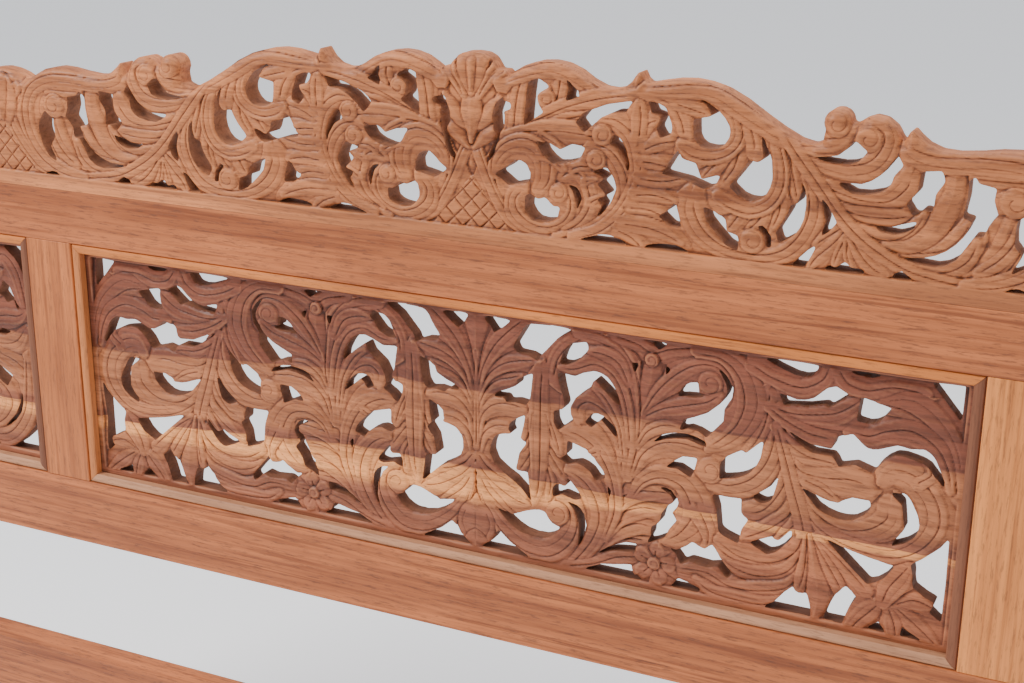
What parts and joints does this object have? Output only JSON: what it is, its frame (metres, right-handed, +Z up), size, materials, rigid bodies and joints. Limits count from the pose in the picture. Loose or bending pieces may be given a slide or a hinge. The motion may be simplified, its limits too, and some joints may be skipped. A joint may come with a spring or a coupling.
{
  "type": "carved bed headboard",
  "caption": "Wide wooden bed headboard: three pierced leaf-carved panels framed by posts, rails and mitred beads, under a pierced scroll crest.",
  "frame": {"origin": "on the floor under the middle of the headboard, half way through its thickness", "axes": "+X to the right seen from the bed, -Y towards the bed, +Z up"},
  "size_m": [1.9, 0.04, 1.1585],
  "materials": {
    "crest_teak": "oiled, hand carved",
    "panel_teak": "oiled, hand carved, three boards of different shade",
    "rail_teak": "oiled, planed",
    "upright_teak": "oiled, planed",
    "bead_teak": "oiled, moulded",
    "stop_teak": "raw sawn",
    "peg_wood": "raw",
    "plate_steel": "zinc plated"
  },
  "bodies": {
    "root": {"bottom_rail": "rail_teak", "crest": "crest_teak", "crest_dowel_inner_left": "peg_wood", "crest_dowel_inner_right": "peg_wood", "crest_dowel_middle": "peg_wood", "crest_dowel_outer_left": "peg_wood", "crest_dowel_outer_right": "peg_wood", "foot_rail": "rail_teak", "left_bead_bottom": "bead_teak", "left_bead_left": "bead_teak", "left_bead_right": "bead_teak", "left_bead_top": "bead_teak", "left_bottom_rail_peg": "peg_wood", "left_foot_rail_peg": "peg_wood", "left_panel": "panel_teak", "left_post": "upright_teak", "left_rail_plate": "plate_steel", "left_rail_plate_lower_screw": "plate_steel", "left_rail_plate_upper_screw": "plate_steel", "left_stile": "upright_teak", "left_stile_bottom_peg": "peg_wood", "left_stile_top_peg": "peg_wood", "left_stop_bottom": "stop_teak", "left_stop_left": "stop_teak", "left_stop_right": "stop_teak", "left_stop_top": "stop_teak", "left_top_rail_peg": "peg_wood", "middle_bead_bottom": "bead_teak", "middle_bead_left": "bead_teak", "middle_bead_right": "bead_teak", "middle_bead_top": "bead_teak", "middle_panel": "panel_teak", "middle_stop_bottom": "stop_teak", "middle_stop_left": "stop_teak", "middle_stop_right": "stop_teak", "middle_stop_top": "stop_teak", "right_bead_bottom": "bead_teak", "right_bead_left": "bead_teak", "right_bead_right": "bead_teak", "right_bead_top": "bead_teak", "right_bottom_rail_peg": "peg_wood", "right_foot_rail_peg": "peg_wood", "right_panel": "panel_teak", "right_post": "upright_teak", "right_rail_plate": "plate_steel", "right_rail_plate_lower_screw": "plate_steel", "right_rail_plate_upper_screw": "plate_steel", "right_stile": "upright_teak", "right_stile_bottom_peg": "peg_wood", "right_stile_top_peg": "peg_wood", "right_stop_bottom": "stop_teak", "right_stop_left": "stop_teak", "right_stop_right": "stop_teak", "right_stop_top": "stop_teak", "right_top_rail_peg": "peg_wood", "top_rail": "rail_teak"}
  },
  "joints": []
}
